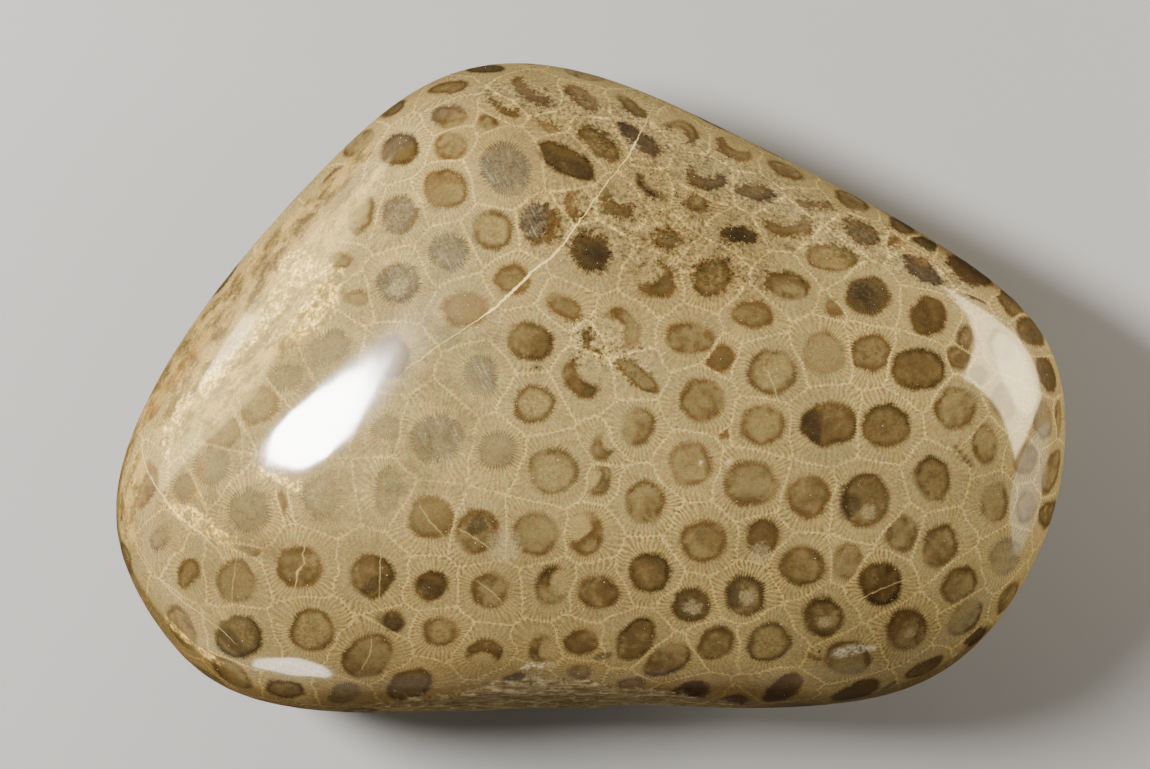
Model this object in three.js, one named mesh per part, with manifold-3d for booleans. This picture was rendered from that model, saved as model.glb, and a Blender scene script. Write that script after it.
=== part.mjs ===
// A polished fossil coral: one pebble of limestone, worn round and then polished,
// that holds a colony of six-sided corallites. Millimetres, +Z up. The face that
// shows the colony best is on top. The stone lies on a small flat spot under its
// belly, and the origin is in that spot's plane, under the middle of the stone.

import * as THREE from "three";
import { mergeVertices } from "three/addons/utils/BufferGeometryUtils.js";
import Module from "manifold-3d";

const wasm = await Module();
wasm.setup();

const { degToRad } = THREE.MathUtils;

// Seen from above, the outline is an eight-sided figure with its corners worn
// away. Each side has the way it faces, in degrees from +X towards +Y, and its
// distance from the point that all of them are measured from.
const WORN_SIDES = [
  { faces: 0, away: 54.1 },
  { faces: 60, away: 37.3 },
  { faces: 89, away: 41 },
  { faces: 132, away: 41.6 },
  { faces: 156, away: 46.8 },
  { faces: 214.5, away: 53 },
  { faces: 270.5, away: 32.2 },
  { faces: 315, away: 49.3 },
];
// The power that blends the sides: a lower one leaves rounder corners.
const OUTLINE_BLEND = 10;

// The widest line runs round the stone like a rim, with the crown above it and
// the belly below. It rises towards RIM_HIGH_SIDE by RIM_SLOPE.
const CROWN_HEIGHT = 22;
const BELLY_DEPTH = 20;
const RIM_SLOPE = 0.03;
const RIM_HIGH_SIDE = degToRad(20);
// Powers of the shoulder between crown and rim: 2 and 2 would be an ellipse, and
// higher ones make it squarer.
const SHOULDER_ACROSS = 2.15;
const SHOULDER_UPRIGHT = 2;

// Broad flats that wear and the polishing wheel left: the way each one faces in
// plan, its lift from the level, and its distance from the stone's middle.
const FLATS = [
  { name: "far shoulder", faces: 62, lift: 40, away: 31.6 },
  { name: "left shoulder", faces: 140, lift: 47, away: 32.6 },
  { name: "top", faces: 250, lift: 84, away: 21.9 },
  { name: "right end", faces: 2, lift: 42, away: 46 },
  { name: "under near side", faces: 265, lift: -42, away: 30.4 },
  { name: "under right", faces: 30, lift: -50, away: 33.6 },
];
// How far a flat's edge takes to run out into the round surface.
const FLAT_SOFTNESS = 2;

// Slow unevenness left by hand work: the way each ripple runs, its length and
// its height.
const RIPPLES = [
  { along: new THREE.Vector3(0.8, 0.5, 0.3), length: 47, height: 0.22 },
  { along: new THREE.Vector3(-0.4, 0.9, 0.4), length: 36, height: 0.18 },
  { along: new THREE.Vector3(0.3, -0.4, 0.9), length: 29, height: 0.14 },
];

// A shallow hollow low on the near side that the polish never reached, with
// ledges along it.
const HOLLOW = {
  middle: -4.5,
  level: 3,
  halfLength: 17,
  halfHeight: 3.6,
  depth: 0.9,
  ledgePitch: 2.6,
  ledgeHeight: 0.22,
};

// The flat spot that the stone rests on cuts this much off the belly.
const FOOT_CUT = 0.5;

// Each edge of a twenty-sided solid is cut into one more than this.
const FACET_DETAIL = 18;
// Far enough to reach past the stone on every side.
const BEYOND = 200;

const STONE_COLOUR = 0xa8906a;

// The outline's reach from its middle, in a direction given as an angle.
function outlineReach(turn) {
  const pushes = WORN_SIDES.map(({ faces, away }) => {
    const towards = Math.max(0, Math.cos(turn - degToRad(faces)));
    return (towards / away) ** OUTLINE_BLEND;
  });
  const sum = pushes.reduce((total, push) => total + push, 0);
  return sum ** (-1 / OUTLINE_BLEND);
}

// The worn pebble before its flats are ground: the point that lies in a unit
// direction's turn and lift.
function roundPoint(direction) {
  const turn = Math.atan2(direction.y, direction.x);
  const level = Math.hypot(direction.x, direction.y);
  const reach = outlineReach(turn) * level ** (2 / SHOULDER_ACROSS);
  const half = direction.z > 0 ? CROWN_HEIGHT : BELLY_DEPTH;
  const rise = half * Math.abs(direction.z) ** (2 / SHOULDER_UPRIGHT);
  const rim = RIM_SLOPE * reach * Math.cos(turn - RIM_HIGH_SIDE);
  return new THREE.Vector3(
    reach * Math.cos(turn),
    reach * Math.sin(turn),
    Math.sign(direction.z) * rise + rim,
  );
}

// Pushes a point back to a flat as far as it stands beyond it, with a soft edge.
function grindFlat(point, { faces, lift, away }) {
  const turn = degToRad(faces);
  const up = degToRad(lift);
  const outwards = new THREE.Vector3(
    Math.cos(turn) * Math.cos(up),
    Math.sin(turn) * Math.cos(up),
    Math.sin(up),
  );
  const beyond = point.dot(outwards) - away;
  const pushed = FLAT_SOFTNESS * Math.log1p(Math.exp(beyond / FLAT_SOFTNESS));
  return point.addScaledVector(outwards, -pushed);
}

// Lifts or sinks a point along its direction by the slow ripples.
function ripple(point, direction) {
  let height = 0;
  for (const wave of RIPPLES) {
    const phase = (2 * Math.PI * point.dot(wave.along)) / wave.length;
    height += wave.height * Math.sin(phase);
  }
  return point.addScaledVector(direction, height);
}

// Sinks the near side into its rough hollow.
function sinkHollow(point) {
  if (point.y > 0) return point;
  const across = (point.x - HOLLOW.middle) / HOLLOW.halfLength;
  const upright = (point.z - HOLLOW.level) / HOLLOW.halfHeight;
  const inside = Math.exp(-(across ** 4) - upright ** 2);
  const ledge = Math.sin((2 * Math.PI * point.z) / HOLLOW.ledgePitch);
  point.y += inside * (HOLLOW.depth + HOLLOW.ledgeHeight * ledge);
  return point;
}

function stonePoint(direction) {
  const point = roundPoint(direction);
  for (const flat of FLATS) grindFlat(point, flat);
  ripple(point, direction);
  return sinkHollow(point);
}

// The whole pebble, before its foot is cut, from an even net of triangles.
function pebbleGeometry() {
  const net = new THREE.IcosahedronGeometry(1, FACET_DETAIL);
  net.deleteAttribute("normal");
  net.deleteAttribute("uv");
  const pebble = mergeVertices(net, 1e-4);
  const places = pebble.getAttribute("position");
  const direction = new THREE.Vector3();
  for (let i = 0; i < places.count; i++) {
    direction.fromBufferAttribute(places, i).normalize();
    places.setXYZ(i, ...stonePoint(direction).toArray());
  }
  return pebble;
}

// A closed geometry as a solid that can be joined and cut.
function solidOf(geometry) {
  return new wasm.Manifold(
    new wasm.Mesh({
      numProp: 3,
      vertProperties: geometry.getAttribute("position").array,
      triVerts: new Uint32Array(geometry.getIndex().array),
    }),
  );
}

function geometryOf(solid) {
  const { vertProperties, triVerts } = solid.getMesh();
  const geometry = new THREE.BufferGeometry();
  geometry.setAttribute("position", new THREE.BufferAttribute(vertProperties, 3));
  geometry.setIndex(new THREE.BufferAttribute(triVerts, 1));
  return geometry;
}

// A big block whose top face is at the given level.
function blockBelow(level) {
  const block = new THREE.BoxGeometry(BEYOND, BEYOND, BEYOND);
  block.translate(0, 0, level - BEYOND / 2);
  block.deleteAttribute("normal");
  block.deleteAttribute("uv");
  return mergeVertices(block);
}

function stoneGeometry() {
  const pebble = pebbleGeometry();
  pebble.computeBoundingBox();
  const foot = pebble.boundingBox.min.z + FOOT_CUT;
  const stone = geometryOf(solidOf(pebble).subtract(solidOf(blockBelow(foot))));
  stone.computeBoundingBox();
  const middle = stone.boundingBox.getCenter(new THREE.Vector3());
  stone.translate(-middle.x, -middle.y, -stone.boundingBox.min.z);
  stone.computeVertexNormals();
  return stone;
}

const stone = new THREE.Mesh(
  stoneGeometry(),
  new THREE.MeshStandardMaterial({
    color: STONE_COLOUR,
    roughness: 0.25,
    metalness: 0,
  }),
);
stone.name = "coral_stone";

const coral = new THREE.Group();
coral.add(stone);

export default coral;
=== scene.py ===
"""The looks of a polished fossil coral: a tan limestone pebble full of six-sided corallites.

The stone lies on a pale floor on its small flat spot, and the camera looks straight down.
The corallites that the photograph shows are listed by their places in it, in pixels of a
1150 by 769 frame. The same colony goes on over the sides and the underside.
"""

import math

import bpy
import numpy as np
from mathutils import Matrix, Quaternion, Vector, noise
from mathutils.bvhtree import BVHTree


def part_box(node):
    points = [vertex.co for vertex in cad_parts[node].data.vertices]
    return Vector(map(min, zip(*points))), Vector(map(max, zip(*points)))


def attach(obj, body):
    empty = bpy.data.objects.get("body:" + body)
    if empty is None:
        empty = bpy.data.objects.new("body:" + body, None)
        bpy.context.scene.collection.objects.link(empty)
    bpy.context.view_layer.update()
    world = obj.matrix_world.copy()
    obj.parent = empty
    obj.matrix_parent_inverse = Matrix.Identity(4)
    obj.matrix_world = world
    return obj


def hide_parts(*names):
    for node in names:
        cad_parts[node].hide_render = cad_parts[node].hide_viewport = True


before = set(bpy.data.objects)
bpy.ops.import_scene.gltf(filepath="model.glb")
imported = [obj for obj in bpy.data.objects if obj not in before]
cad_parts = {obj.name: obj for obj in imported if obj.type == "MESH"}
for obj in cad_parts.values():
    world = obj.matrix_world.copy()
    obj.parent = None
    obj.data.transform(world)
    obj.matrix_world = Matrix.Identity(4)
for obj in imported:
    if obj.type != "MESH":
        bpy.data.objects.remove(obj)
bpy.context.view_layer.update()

MM = 0.001

# The photograph's frame, how large the stone is in it, and where its middle is.
FRAME_WIDE = 1150
FRAME_TALL = 769
PIXELS_PER_MM = 9.0
STONE_MIDDLE_PX = (589.0, 388.5)
# That scale holds at the stone's widest line, which is this share of its height.
RIM_SHARE = 0.5

LENS_MM = 120.0
SENSOR_MM = 36.0
LENS_PX = LENS_MM / SENSOR_MM * FRAME_WIDE

STONE_LOW, STONE_HIGH = (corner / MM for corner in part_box("coral_stone"))
RIM_HEIGHT = RIM_SHARE * STONE_HIGH.z
CAMERA_PLACE = Vector((
    (FRAME_WIDE / 2 - STONE_MIDDLE_PX[0]) / PIXELS_PER_MM,
    (STONE_MIDDLE_PX[1] - FRAME_TALL / 2) / PIXELS_PER_MM,
    RIM_HEIGHT + LENS_PX / PIXELS_PER_MM,
))

WORLD_GLOW = 0.05
# A lamp is mirrored by a patch of the stone, so many pixels each way.
LAMP_PATCH = 4
# Soft panels: the pixel that each is reflected at, its distance, its width and
# height in metres, its shape, its turn, its glow, its colour, and whether it lights
# the stone, shines in its polish, or both.
LAMPS = [
    ("key", (306, 437), 0.42, (0.096, 0.200), "ELLIPSE", -22, 365, (1.0, 0.98, 0.95), "light"),
    ("key_shine", (306, 437), 0.40, (0.091, 0.190), "ELLIPSE", -22, 760, (1.0, 0.98, 0.95), "shine"),
    ("left_panel", (208, 353), 0.30, (0.301, 0.197), "RECTANGLE", 55, 35, (1.0, 0.81, 0.34), "shine"),
    ("left_core", (199, 371), 0.30, (0.045, 0.144), "ELLIPSE", 27, 44, (1.0, 0.92, 0.68), "shine"),
    ("left_fill", (230, 360), 0.30, (0.184, 0.132), "RECTANGLE", 58, 36, (1.0, 0.93, 0.80), "light"),
    ("right_panel", (1021, 351), 0.12, (0.094, 0.177), "RECTANGLE", 38, 66, (1.0, 0.84, 0.48), "shine"),
    ("right_core", (1022, 363), 0.20, (0.104, 0.147), "ELLIPSE", 65, 28, (1.0, 0.88, 0.56), "shine"),
    ("right_strip", (1044, 498), 0.07, (0.108, 0.047), "ELLIPSE", 84, 10, (1.0, 0.92, 0.72), "shine"),
    ("right_fill", (1015, 366), 0.20, (0.138, 0.190), "RECTANGLE", 47, 57, (1.0, 0.95, 0.86), "light"),
    ("low_left", (283, 669), 0.20, (0.078, 0.084), "ELLIPSE", 15, 50, (1.0, 0.92, 0.80), "both"),
]

# How fine the stone's net is, and how far its facets are rounded off.
NET_SPACING = 0.5
ROUNDING_PASSES = 26

# Corallites that the photograph shows: x and y of the calice's middle, its half
# length and half width in pixels, the turn of its length in degrees from level,
# its tone and, for a crescent, the side that a bite is missing from, in degrees.
READ_CALICES = [
    # Top edge and the band along the upper right, where the cut is slanting.
    (393, 108, 14, 5, 32, "deep"), (448, 87, 21, 6, 10, "dark"), (485, 68, 19, 4, 3, "deep"),
    (530, 63, 8, 3, 0, "dark"), (585, 74, 20, 5, -15, "plain"), (449, 116, 17, 12, 5, "dark"),
    (450, 147, 16, 15, 0, "plain"), (488, 122, 10, 8, -20, "plain"),
    (504, 106, 18, 7, -35, "plain", 55), (532, 90, 23, 11, -32, "plain", 58),
    (582, 97, 21, 8, -35, "plain"), (600, 143, 26, 11, -38, "plain"),
    (553, 131, 19, 6, -35, "pale"), (566, 160, 34, 14, -30, "dark"),
    (505, 168, 30, 25, -60, "grey"), (576, 203, 20, 12, 95, "pale", 0),
    (632, 106, 20, 6, -38, "plain"), (640, 140, 26, 9, -36, "dark"),
    (648, 187, 16, 8, -40, "black", 50), (617, 203, 19, 13, -42, "plain", 60),
    (590, 252, 23, 20, -35, "black"), (683, 131, 17, 11, -25, "plain", -140),
    (734, 149, 20, 9, -28, "plain", 70), (786, 170, 20, 7, -24, "plain"),
    (706, 177, 21, 12, -14, "dark", 80), (696, 202, 13, 11, 0, "pale"),
    (755, 192, 20, 8, -8, "plain"), (666, 238, 16, 11, -10, "plain"),
    (739, 235, 22, 9, -8, "black"), (789, 225, 25, 12, -4, "plain", 120),
    (815, 203, 19, 7, -6, "plain", 80), (831, 257, 27, 14, -8, "plain"),
    (852, 200, 20, 7, -28, "dark"), (861, 232, 22, 11, -28, "dark"), (890, 242, 12, 5, 15, "deep"),
    (903, 226, 15, 6, -28, "deep"), (927, 243, 20, 5, -26, "deep"), (922, 270, 23, 10, -36, "deep"),
    (970, 270, 26, 10, -32, "deep"), (975, 294, 14, 5, -35, "deep"),
    (1010, 302, 20, 7, -48, "dark"), (1032, 331, 19, 10, -52, "deep"),
    # Upper left.
    (358, 143, 19, 9, 42, "plain"), (337, 179, 19, 10, 40, "dark"), (361, 214, 21, 13, 70, "dark"),
    (400, 149, 20, 17, 20, "deep"), (445, 188, 23, 21, 0, "dark"), (399, 214, 19, 19, 0, "slate"),
    (492, 230, 21, 21, 0, "ring"), (540, 222, 23, 19, -60, "plain"), (399, 283, 22, 21, 0, "slate"),
    (448, 252, 21, 20, 0, "grey"), (465, 309, 24, 18, 5, "warm"), (512, 279, 18, 17, 0, "dark"),
    (564, 307, 19, 12, -35, "dark"), (340, 260, 12, 8, 0, "dark"), (357, 298, 14, 8, 0, "pale"),
    # Middle.
    (657, 281, 20, 18, 0, "plain", 135), (712, 277, 22, 20, 35, "plain"),
    (788, 285, 24, 14, -12, "plain"), (868, 295, 23, 20, -10, "black"),
    (836, 307, 11, 10, 0, "ochre"), (928, 316, 20, 19, 90, "deep"), (753, 314, 21, 14, -5, "plain"),
    (690, 338, 25, 16, -5, "plain"), (721, 359, 17, 14, 25, "dark"),
    (624, 328, 23, 15, -55, "plain", 190), (592, 343, 15, 11, -60, "plain", 10),
    (637, 376, 28, 9, -38, "plain"), (530, 341, 25, 19, -10, "dark"),
    (481, 376, 22, 18, 90, "grey"), (582, 379, 23, 17, -45, "dark", 50),
    (534, 404, 21, 20, 0, "ring"), (772, 372, 25, 23, 0, "ring"), (824, 353, 22, 22, 0, "pale"),
    (702, 401, 23, 22, 0, "plain"), (723, 430, 8, 8, 0, "ochre"), (763, 425, 23, 20, 0, "ring"),
    (638, 427, 20, 17, 80, "pale"), (829, 424, 29, 23, 0, "deep"), (871, 352, 21, 20, 0, "rimmed"),
    (919, 369, 27, 22, 0, "deep"), (886, 426, 24, 23, 0, "dark"),
    (603, 447, 15, 12, 80, "pale", 45), (599, 481, 16, 12, 60, "pale", 160),
    (645, 502, 22, 20, 90, "plain"), (691, 464, 23, 22, 90, "ring"), (751, 483, 27, 24, 0, "pale"),
    (809, 497, 22, 22, 0, "plain"), (866, 500, 28, 25, 90, "dark"), (703, 541, 23, 22, 0, "plain"),
    (763, 537, 18, 18, 0, "dark"), (587, 534, 22, 17, 80, "plain", 135),
    (650, 573, 21, 21, 0, "dark"), (802, 566, 23, 20, 0, "plain"), (553, 471, 25, 24, 0, "ring"),
    (498, 450, 21, 21, 0, "grey"), (437, 438, 28, 25, 30, "grey"),
    # Right end, partly under the reflections.
    (958, 358, 14, 12, -25, "dark"), (965, 338, 14, 9, 80, "dark"), (977, 375, 11, 11, 0, "dark"),
    (1002, 345, 17, 13, -60, "plain"), (956, 408, 22, 21, 90, "plain"),
    (1003, 403, 19, 12, 100, "plain"), (985, 444, 22, 12, 95, "plain"),
    (1043, 420, 21, 10, 98, "pale"), (1025, 459, 16, 12, 80, "warm"),
    (1047, 373, 20, 9, 108, "deep"), (1052, 472, 24, 8, 74, "plain"),
    (1058, 420, 20, 4, 88, "plain"), (933, 479, 23, 18, 108, "plain"),
    (902, 533, 19, 17, 90, "plain"), (995, 503, 21, 14, 85, "pale"),
    (1027, 507, 17, 10, 80, "pale"), (1049, 514, 15, 7, 70, "dark"),
    (940, 546, 23, 17, 68, "plain"), (1006, 557, 21, 16, 65, "grey"),
    (848, 561, 19, 16, 90, "pale"), (881, 584, 22, 22, 0, "dark"), (907, 630, 22, 20, 60, "dark"),
    (959, 585, 21, 16, 50, "plain"), (966, 618, 22, 13, 50, "plain"),
    (1008, 598, 20, 6, 58, "plain"), (975, 637, 14, 6, 42, "deep"), (925, 668, 22, 6, 28, "plain"),
    # Lower edge. Its darkest reddish-brown calices carry painted shade where the stone turns under.
    (823, 618, 21, 20, 0, "plain"), (848, 659, 24, 17, 0, "plain"), (856, 692, 26, 8, 18, "shaded_russet"),
    (783, 690, 22, 11, 30, "shaded_russet"), (735, 701, 14, 6, 0, "shaded_russet"),
    (690, 693, 19, 10, 15, "shaded_russet"), (769, 643, 23, 19, 25, "ring"),
    (715, 644, 21, 16, 30, "dark"), (745, 595, 21, 21, 0, "rimmed"),
    (691, 606, 20, 18, 0, "rimmed"), (668, 661, 26, 14, 25, "plain"),
    (636, 640, 25, 17, 55, "dark"), (598, 592, 22, 18, 0, "plain"), (582, 642, 18, 13, 8, "plain"),
    (580, 672, 12, 8, 0, "pale"), (632, 684, 15, 6, 0, "pale"), (551, 585, 21, 16, 80, "plain", 10),
    (540, 649, 15, 10, 75, "plain", 0), (490, 590, 20, 18, 0, "plain"),
    (484, 652, 19, 12, 0, "plain", -90), (440, 632, 18, 15, 0, "ring"),
    (410, 686, 24, 15, 22, "dark"), (367, 657, 27, 21, 35, "plain"), (393, 622, 12, 12, 0, "dark"),
    (431, 586, 18, 15, 12, "dark"), (372, 576, 22, 22, 0, "dark"), (478, 532, 23, 22, -35, "plain"),
    (535, 534, 23, 23, 0, "ring"), (432, 518, 24, 22, 0, "plain"), (387, 490, 26, 14, 80, "grey"),
    # Left end, under the haze.
    (320, 497, 22, 20, 90, "grey"), (249, 511, 23, 23, 0, "grey"), (279, 505, 15, 8, 80, "pale"),
    (160, 538, 15, 11, 60, "grey"), (188, 574, 16, 10, 70, "dark"), (235, 582, 22, 20, 90, "pale"),
    (245, 551, 20, 6, 0, "pale"), (299, 567, 23, 23, 0, "plain"), (312, 631, 23, 22, 0, "ring"),
    (238, 638, 24, 22, 0, "rimmed"), (285, 690, 20, 9, -5, "dark"), (344, 694, 18, 10, 15, "grey"),
    (212, 466, 22, 18, 60, "grey"), (258, 405, 22, 18, 40, "pale"), (222, 432, 20, 17, 30, "pale"),
    (284, 378, 22, 14, 15, "grey"), (330, 346, 22, 16, 20, "grey"), (388, 428, 18, 14, 0, "grey"),
    (178, 420, 18, 15, 60, "pale"), (185, 487, 16, 13, 60, "grey"),
]

# How dark a calice is, how pale its middle, how grey and how warm.
TONES = {
    "plain": (0.55, 0.30, 0.00, 0.15),
    "warm": (0.45, 0.25, 0.00, 0.75),
    "pale": (0.25, 0.35, 0.10, 0.30),
    "dark": (0.95, 0.25, 0.00, 0.20),
    "deep": (1.40, 0.15, 0.00, 0.20),
    "black": (0.90, -0.45, 0.10, 0.10),
    "ring": (0.60, 0.85, 0.05, 0.12),
    "rimmed": (1.45, 0.35, 0.05, 0.15),
    # Reddish brown and darkest, as painted shade for calices where the stone turns under.
    "shaded_russet": (1.50, 0.10, 0.00, 0.70),
    "grey": (0.50, 0.30, 0.75, 0.00),
    "slate": (0.95, 0.20, 0.45, 0.00),
    "ochre": (0.80, 0.10, 0.00, 1.00),
}
# How far a calice strays from its tone, in each of the four.
TONE_SPREAD = np.array([0.12, 0.10, 0.03, 0.10])

# Corallites that the photograph doesn't show: the gap between their middles, the size
# of their calices, and how much smaller some are.
UNSEEN_GAP = 7.6
UNSEEN_CALICE = (1.9, 2.75)
UNSEEN_SMALLER = 0.6
UNSEEN_TONES = ["plain", "plain", "dark", "dark", "ring", "warm", "pale", "grey"]
UNSEEN_SMALL_SHARE = 0.14
# They end once the widest gap is below this share of UNSEEN_GAP, and each goes where
# the gap is nearly the widest.
UNSEEN_FULL = 0.8
UNSEEN_RIPE = 0.93
SEED = 11

# A cell's wall keeps this many times its calice's radius away, against its
# neighbour's, and so many cells round it can bound it.
WALL_REACH = 1.65
NEIGHBOURS = 16
# The walls wander off the straight by about this many millimetres, in waves of
# these lengths.
WALL_WANDER = 0.20
WANDER_WAVES = (2.4, 3.1, 3.9, 5.2, 6.5)
# A calice seen more nearly edge-on than this isn't stretched any further.
LEAST_FACING = 0.3
# Septa in a cell: so many, and so many more for each millimetre of its calice.
SEPTA_FEWEST = 18
SEPTA_PER_MM = 11
# A crescent's bite: how far its middle is from the calice's, and its own reach, as
# shares of the calice's radius.
BITE_AWAY = 0.68
BITE_REACH = 0.66
# The faces are shared out among the cells so many at a time.
FACES_AT_ONCE = 20000

# Veins and healed cracks: how clear each is, and its points in pixels, with the half
# width there in millimetres.
VEINS = [
    # The long cream vein of calcite.
    (0.95, [(658, 97, 0.01), (648, 118, 0.01), (640, 134, 0.02), (634, 146, 0.08),
            (626, 160, 0.03), (603, 188, 0.03), (585, 214, 0.04), (566, 240, 0.06),
            (553, 256, 0.08), (536, 268, 0.11), (520, 284, 0.07), (508, 296, 0.15),
            (494, 308, 0.08), (480, 318, 0.03), (462, 330, 0.01), (440, 345, 0.01),
            (422, 358, 0.02), (408, 368, 0.00), (396, 380, 0.00)]),
    # The thinner one at the left end.
    (0.4, [(144, 436, 0.02), (142, 452, 0.05), (147, 470, 0.07), (158, 490, 0.08),
           (170, 506, 0.12), (182, 519, 0.08), (200, 532, 0.05), (216, 548, 0.03),
           (224, 560, 0.02)]),
    (0.3, [(124, 520, 0.02), (138, 546, 0.04), (158, 578, 0.04), (172, 592, 0.07),
           (200, 614, 0.05), (222, 630, 0.04), (234, 642, 0.02)]),
    (0.15, [(232, 380, 0.04), (240, 405, 0.06), (243, 450, 0.06), (240, 490, 0.04)]),
    # Healed cracks across single calices.
    (0.3, [(306, 545, 0.02), (302, 556, 0.06), (305, 563, 0.04), (296, 572, 0.09),
           (297, 580, 0.05), (294, 592, 0.02)]),
    (0.2, [(381, 552, 0.03), (380, 575, 0.06), (379, 596, 0.03)]),
    (0.2, [(420, 506, 0.04), (430, 522, 0.09), (441, 534, 0.04)]),
    (0.2, [(460, 530, 0.04), (474, 537, 0.09), (487, 546, 0.04)]),
    (0.2, [(372, 640, 0.04), (370, 655, 0.07), (362, 668, 0.04)]),
    (0.2, [(478, 582, 0.04), (492, 592, 0.07), (500, 600, 0.04)]),
    (0.25, [(852, 603, 0.03), (880, 589, 0.06), (912, 577, 0.03)]),
    (0.15, [(236, 562, 0.03), (233, 585, 0.06), (232, 603, 0.03)]),
    (0.25, [(768, 372, 0.03), (774, 386, 0.06), (776, 396, 0.03)]),
]
# A vein is stored as near up to this many millimetres away.
VEIN_NEAR = 1.6

# Other marks of the stone, by kind. Each is a stroke of points in pixels, with its
# reach to either side.
MARKS = {
    # Cloudy stone in which the cells fade.
    "haze": [
        [(420, 230, 60), (370, 330, 110), (330, 430, 110), (240, 470, 100)],
        [(470, 330, 60), (430, 400, 80), (440, 470, 60), (350, 500, 70)],
        [(215, 600, 50), (260, 530, 60)],
    ],
    # Bare stone, almost without cells, down the far side of the left shoulder.
    "bare": [
        [(376, 176, 12), (340, 215, 24), (300, 260, 40), (256, 305, 50), (210, 365, 46),
         (172, 425, 34)],
        [(300, 305, 44), (256, 350, 36), (212, 410, 26)], [(136, 470, 26), (130, 540, 16)],
    ],
    # Brown stains along its edge.
    "stained": [
        [(368, 150, 14), (322, 196, 22), (272, 250, 32), (222, 308, 36), (174, 368, 38),
         (138, 424, 30)],
        [(124, 440, 24), (118, 480, 26), (116, 530, 18)],
        [(140, 600, 9), (176, 650, 12), (226, 688, 12), (290, 712, 12)],
    ],
    # Cream crystals.
    "cream": [
        [(288, 262, 16), (306, 268, 24), (326, 284, 26), (318, 306, 26), (300, 326, 18)],
        [(285, 290, 18), (262, 322, 16), (236, 350, 16), (208, 384, 16)],
        [(186, 402, 14), (170, 430, 14), (166, 452, 8)],
        [(172, 506, 6), (186, 514, 11), (204, 524, 12), (218, 534, 7), (234, 540, 4)],
        [(168, 622, 7), (196, 648, 7), (222, 664, 5)], [(262, 470, 6), (296, 486, 7)],
    ],
    # Grey calcite with fine parallel scratches.
    "scuffed": [
        [(490, 172, 30), (514, 166, 34)], [(530, 226, 20), (536, 214, 16)], [(448, 252, 36)],
        [(398, 284, 36)], [(399, 214, 26)], [(486, 372, 24)], [(440, 436, 36)],
    ],
    # Painted shade: the stone darkened along the near side and the far edge, where less light falls on
    # it.
    "falloff_shade": [
        [(170, 570, 110), (300, 630, 150), (440, 650, 160), (600, 650, 170), (740, 630, 150),
         (860, 630, 90)],
        [(420, 90, 60), (520, 110, 90), (620, 190, 130), (700, 260, 100)],
    ],
    # Painted shade: the stone darkened and browned towards its edges, where less light reaches it.
    "edge_shade": [
        [(370, 716, 110), (480, 708, 130), (600, 708, 130), (720, 706, 110),
         (820, 706, 70), (900, 690, 40), (980, 640, 30)],
        [(112, 540, 14), (150, 610, 28), (215, 676, 42), (290, 708, 56), (340, 716, 44)],
        [(108, 450, 14), (108, 500, 18), (112, 540, 16)],
        [(890, 205, 20), (936, 232, 44), (985, 266, 50), (1030, 306, 34), (1058, 360, 16)],
    ],
    # Septa with dark gaps between them.
    "bold": [
        [(672, 505, 26), (690, 500, 16)], [(745, 572, 26), (770, 590, 22), (722, 600, 18)],
        [(881, 560, 20), (860, 590, 16)], [(870, 345, 30), (900, 395, 24), (840, 405, 22)],
        [(600, 560, 18), (640, 545, 18)], [(450, 560, 22), (405, 600, 20), (350, 610, 16)],
    ],
    # Dark dots between the rays where the cut is slanting.
    "speckled": [
        [(500, 90, 30), (590, 120, 60), (690, 170, 80), (780, 210, 70), (870, 240, 50),
         (950, 275, 40)],
        [(560, 220, 50), (650, 230, 70), (740, 265, 50)], [(592, 340, 34), (630, 360, 30)],
    ],
    "ochre": [
        [(205, 340, 12), (180, 372, 14), (150, 412, 14)],
        [(203, 466, 9), (197, 482, 8), (192, 500, 6)], [(893, 240, 12), (925, 262, 10)],
        [(802, 656, 5), (816, 658, 5), (826, 659, 4)],
    ],
    "white": [
        [(838, 653, 7), (850, 651, 9), (864, 648, 6), (873, 648, 4)], [(601, 118, 4)],
        [(730, 461, 3.4)], [(701, 461, 3.4)], [(634, 145, 5)],
        [(524, 668, 3), (532, 664, 4), (541, 666, 4), (552, 664, 3)], [(955, 655, 3)],
    ],
    # Soft pale cores.
    "milky": [
        [(760, 553, 14)], [(505, 545, 22)], [(824, 622, 9)], [(910, 633, 8)], [(692, 608, 11)],
        [(869, 511, 10)], [(747, 597, 11)], [(398, 288, 14)],
    ],
    "black": [
        [(819, 660, 3.6), (808, 654, 3)], [(884, 689, 5), (893, 683, 6)], [(537, 368, 6.4)],
        [(640, 176, 6), (643, 186, 7), (651, 191, 6), (662, 196, 6)],
        [(508, 680, 8), (520, 677, 8)], [(486, 685, 7)], [(600, 657, 7), (608, 655, 6)],
        [(544, 152, 10), (558, 164, 12), (574, 166, 10), (586, 176, 8)], [(738, 236, 8)],
        [(862, 292, 17)], [(596, 252, 12)], [(850, 505, 16), (846, 514, 10)],
        [(812, 420, 14), (816, 434, 8)], [(432, 590, 14), (426, 584, 10)],
        [(395, 625, 12), (382, 618, 8)], [(786, 246, 4), (794, 250, 4)],
        [(955, 447, 5), (962, 456, 6), (972, 464, 4)], [(228, 636, 14), (240, 650, 10)],
        [(736, 602, 10), (734, 590, 8)], [(764, 196, 4), (770, 199, 4)],
        [(380, 580, 10), (366, 590, 8)], [(480, 524, 12), (470, 530, 8)],
    ],
    # Tiny pits, painted as near-black spots that stand for the shadow inside them.
    "pit_shadow": [
        [(819, 652, 3.4)], [(537, 368, 2.4)],
    ],
    # Grey-brown rock in streaks, where the polish stops.
    "streaked": [
        [(380, 716, 10), (440, 704, 22), (490, 696, 28), (540, 690, 32), (600, 694, 28),
         (660, 698, 24), (730, 704, 12)],
    ],
}

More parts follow.
